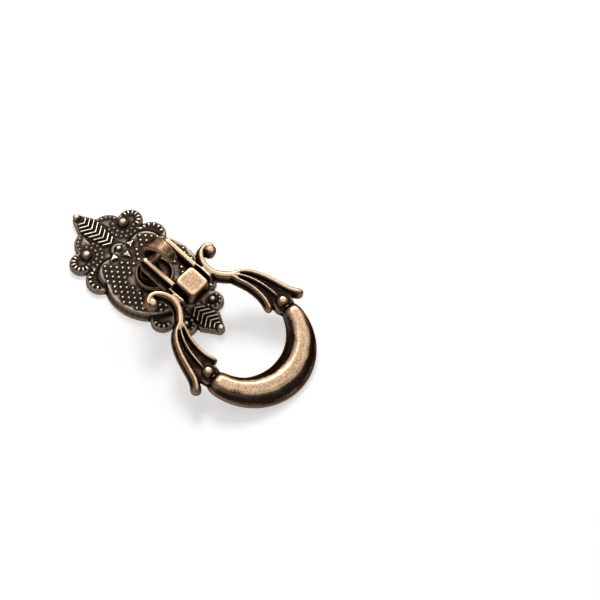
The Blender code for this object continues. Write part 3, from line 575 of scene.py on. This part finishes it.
def rubbing_and_highlight(mix, wear_and_highlight, square, mound, edge):
    """How hard the cloth rubs each point, with a painted highlight on faces that look to the front
    and a painted glint on small crests. The four numbers are those of antique_brass.
    """
    # Painted highlight, with wear: the faces that look most squarely to the front are bright.
    facing = mix.ramp(mix.attribute("facing"), square, SQUARE_ON)
    high = mix.math("MULTIPLY", mix.ramp(mix.attribute("level"), 0.0, 1.0), wear_and_highlight)
    high = mix.math("MULTIPLY", high, mix.ramp(mix.attribute("broad"), mound, mound + MOUND_RISE_MM))
    # Painted glint, with wear: small crests that look towards the front are bright at their tips.
    crests = mix.math("MULTIPLY", mix.ramp(mix.attribute("facing"), *CREST_FACING),
                      mix.ramp(mix.attribute("level"), 0.0, 1.0, LOW_CREST_SHARE * edge, edge))
    return mix.math("ADD", mix.math("MULTIPLY", facing, high),
                    mix.math("MULTIPLY", mix.ramp(mix.attribute("fine"), *CREST_MM), crests))


print("the rubbing of a crest grows between mm:", CREST_MM)

# %% [markdown]
# ### The brown skin, painted shade and a painted reflection
#
# Between bare metal and black oxide lies a brown skin. It grows on ground that stands out and is nearly
# missing in grooves. Slopes that turn away from the front keep little of it: painted shade, for the dark
# surroundings that they reflect. Steep sides get a lighter brown in their own way: a painted reflection of
# the white table, but only as far as they stand out.

# %% Grow the brown skin, the painted shade and the painted reflection
OUT_MM = 0.25
SKIN_SWAY = 1.2
GROOVE_MM = 0.016
GROOVE_SKIN = 0.04
# Painted shade: slopes turned away from the front keep little brown and stay dark.
SHADED_SLOPE_FACING = (0.45, 0.95)
SHADED_SLOPE_SKIN = 0.12
# Painted reflection: steep sides get a lighter brown for the white table that they mirror.
SIDE_REFLECTION_FACING = (0.66, 0.4)
SIDE_REFLECTION = 0.75
SIDE_REFLECTION_OUT_MM = (-0.02, 0.16)


def standing_out(mix):
    """0 in a wide hollow, 1 on a wide mound and a half on flat ground."""
    return mix.ramp(mix.attribute("broad"), -OUT_MM, OUT_MM)


def side_floor_reflection(mix):
    """A lighter brown on steep sides: a painted reflection of the white table."""
    return mix.math("MULTIPLY", mix.ramp(mix.attribute("facing"), *SIDE_REFLECTION_FACING, 0.0, SIDE_REFLECTION),
                    mix.ramp(mix.attribute("broad"), *SIDE_REFLECTION_OUT_MM))


def brown_skin_shade_and_reflection(mix, out, uneven, sides, brown_from, brown_to):
    """How much of the oxide is brown. It grows from brown_from to brown_to as the surface stands out.
    Slopes that turn from the front keep less of it, as painted shade, and steep sides keep their painted
    reflection.
    """
    skin = mix.ramp(mix.math("ADD", out, mix.math("MULTIPLY", uneven, SKIN_SWAY)), brown_from, brown_to)
    skin = mix.math("MULTIPLY", skin,
                    mix.ramp(mix.attribute("fine"), -GROOVE_MM, GROOVE_MM, GROOVE_SKIN, 1.0))
    # Painted shade on slopes that turn away from the front.
    skin = mix.math("MULTIPLY", skin, mix.ramp(mix.attribute("facing"), *SHADED_SLOPE_FACING, SHADED_SLOPE_SKIN, 1.0))
    # Steep sides keep at least their painted reflection of the table.
    return mix.math("MAXIMUM", skin, sides)


# The slopes at which the painted reflection on steep sides begins and is full.
print("sides turn brown between degrees of slope:",
      [round(math.degrees(math.acos(facing))) for facing in SIDE_REFLECTION_FACING])

# %% [markdown]
# ### Stains
#
# Rubbed brass keeps small darker stains. They are patches of a third noise. Flat tops keep more of them
# than mounds do, and a thin even stain as well, because a cloth presses hardest on what stands out.

# %% Keep some stains
STAIN_SCALE = 1700
STAIN_SPAN = (0.36, 0.58)
STAIN_OUT = (0.5, 0.95)
MOUND_STAINS = 0.4
FLAT_OUT = (0.5, 0.8)
FLAT_STAINS = 0.35


def dark_stains(mix, out):
    """How stained the rubbed metal is."""
    patches = mix.ramp(mix.noise(STAIN_SCALE, detail=5.0, roughness=0.75), *STAIN_SPAN)
    patches = mix.math("MULTIPLY", patches, mix.ramp(out, *STAIN_OUT, 1.0, MOUND_STAINS))
    return mix.math("ADD", patches, mix.ramp(out, *FLAT_OUT, FLAT_STAINS, 0.0), clamp=True)


print("one stain in mm:", round(1 / STAIN_SCALE / MM, 2))

# %% [markdown]
# ### The layers together
#
# Oxide comes first, the brown skin over it, then a warm tone where rubbing and the painted highlight begin,
# and bare metal, with its painted highlights, where they are done. The mask of the bare metal drives
# roughness too, because rubbed brass is smoother than oxide, and a faint grain keeps the highlights alive.
# At a grazing angle a plain metal would turn white, so its edges get a darker tint.

# %% Lay the metal over the oxide
OXIDE = (0.013, 0.009, 0.007, 1)
WARM = (0.26, 0.155, 0.095, 1)
STAINED_AND_SIDE_REFLECTION = (0.38, 0.245, 0.155, 1)
GRAZING_TINT = (0.45, 0.37, 0.30, 1)
# How far the painted reflection on steep sides warms towards the stain colour.
SIDE_REFLECTION_WARMTH = 0.6
WARM_SPAN = (0.2, 0.6)
BARE_SPAN = (0.4, 0.95)
OXIDE_ROUGHNESS = 0.4
BARE_ROUGHNESS = 0.3
GRAIN_STRENGTH = 0.15
GRAIN_DEPTH = 0.04 * MM


def antique_brass(name, brown, shine, wear_and_highlight, square, mound, edge, brown_from, brown_to):
    """Darkened brass. brown is the colour of its skin and shine that of its bright metal. wear is how
    bright
    the high faces are, where they look to the front by at least square and stand out by at least mound, in
    mm:
    worn metal with a painted highlight. edge is how bright small crests are, the low ones less so: worn,
    with a painted glint. The brown skin grows from brown_from to brown_to as the surface stands out, slopes
    that turn from the front are painted darker, and steep sides get a painted reflection of the table."""
    material = bpy.data.materials.new(name)
    material.use_nodes = True
    mix = Mixer(material)
    shader = material.node_tree.nodes["Principled BSDF"]
    specks, uneven = uneven_wear(mix)
    # Wear and painted highlights together: the more of both, the brighter the metal.
    rubbed_and_highlight = mix.math("ADD", rubbing_and_highlight(mix, wear_and_highlight, square, mound, edge), uneven)
    bare_and_highlight = mix.ramp(rubbed_and_highlight, *BARE_SPAN)
    out = standing_out(mix)
    sides = side_floor_reflection(mix)
    skin = brown_skin_shade_and_reflection(mix, out, uneven, sides, brown_from, brown_to)
    # The painted reflection on steep sides warms their brown towards the stain colour.
    brown = mix.blend(mix.math("MULTIPLY", sides, SIDE_REFLECTION_WARMTH), brown, STAINED_AND_SIDE_REFLECTION)
    under = mix.blend(mix.ramp(rubbed_and_highlight, *WARM_SPAN), mix.blend(skin, OXIDE, brown), WARM)
    bright = mix.blend(dark_stains(mix, out), shine, STAINED_AND_SIDE_REFLECTION)
    mix.feed(shader.inputs["Base Color"], mix.blend(bare_and_highlight, under, bright))
    shader.inputs["Metallic"].default_value = 1.0
    shader.inputs["Specular Tint"].default_value = GRAZING_TINT
    mix.feed(shader.inputs["Roughness"], mix.ramp(bare_and_highlight, 0.0, 1.0, OXIDE_ROUGHNESS, BARE_ROUGHNESS))
    bump = mix.new("Bump")
    bump.inputs["Strength"].default_value = GRAIN_STRENGTH
    bump.inputs["Distance"].default_value = GRAIN_DEPTH
    mix.feed(bump.inputs["Height"], specks)
    mix.feed(shader.inputs["Normal"], bump.outputs["Normal"])
    return material


print("rubbing starts to show at", WARM_SPAN[0], "and ends in bare metal at", BARE_SPAN[1])

# %% [markdown]
# ## Three castings, three metals
#
# The plate is pale brass, paler than real brass so that the tips of its knobs and dots carry a painted
# highlight, and it was rubbed hardest on its dots and chevrons, while flat ground stayed dark. Its square
# leaves only the tops of the knobs bright, and their lower halves dark as painted shade. The drop is
# redder, and its broad ring and ribs are bare, with a painted highlight along their crests. The post is the
# dullest, and it darkens towards the drawer: painted shade for the deep shadow between the cheeks of the
# drop, over oxide that the cloth can't reach. On post and drop hollows may be rubbed too, so their mound is
# set lower than any hollow.

# %% Finish the castings
PLATE_BROWN = (0.195, 0.163, 0.132, 1)
# Paler than real brass: the bright tips of the plate carry a painted highlight.
PLATE_SHINE_AND_HIGHLIGHT = (0.96, 0.83, 0.62, 1)
DROP_BROWN = (0.20, 0.125, 0.08, 1)
DROP_SHINE = (0.84, 0.59, 0.39, 1)
POST_BROWN = (0.15, 0.095, 0.06, 1)
POST_SHINE = (0.46, 0.31, 0.195, 1)
NO_MOUND = -2.0

# Plate: painted highlights on the tops of knobs and dots, with painted shade on the lower halves of the
# knobs.
plate.data.materials.append(antique_brass("plate_brass", PLATE_BROWN, PLATE_SHINE_AND_HIGHLIGHT, wear_and_highlight=1.4, square=0.68,
                                          mound=0.12, edge=2.0, brown_from=0.0, brown_to=0.8))
# Post: dull, with the painted shade towards the drawer that its level gives.
post.data.materials.append(antique_brass("post_brass", POST_BROWN, POST_SHINE, wear_and_highlight=0.45, square=0.5,
                                         mound=NO_MOUND, edge=0.3, brown_from=0.2, brown_to=1.1))
# Drop: a painted highlight along the crests of the ring and ribs, over their wear.
drop.data.materials.append(antique_brass("drop_brass", DROP_BROWN, DROP_SHINE, wear_and_highlight=1.0, square=0.72,
                                         mound=NO_MOUND, edge=0.2, brown_from=0.58, brown_to=1.0))
print("metals:", [obj.data.materials[0].name for obj in (plate, post, drop)])

# %% [markdown]
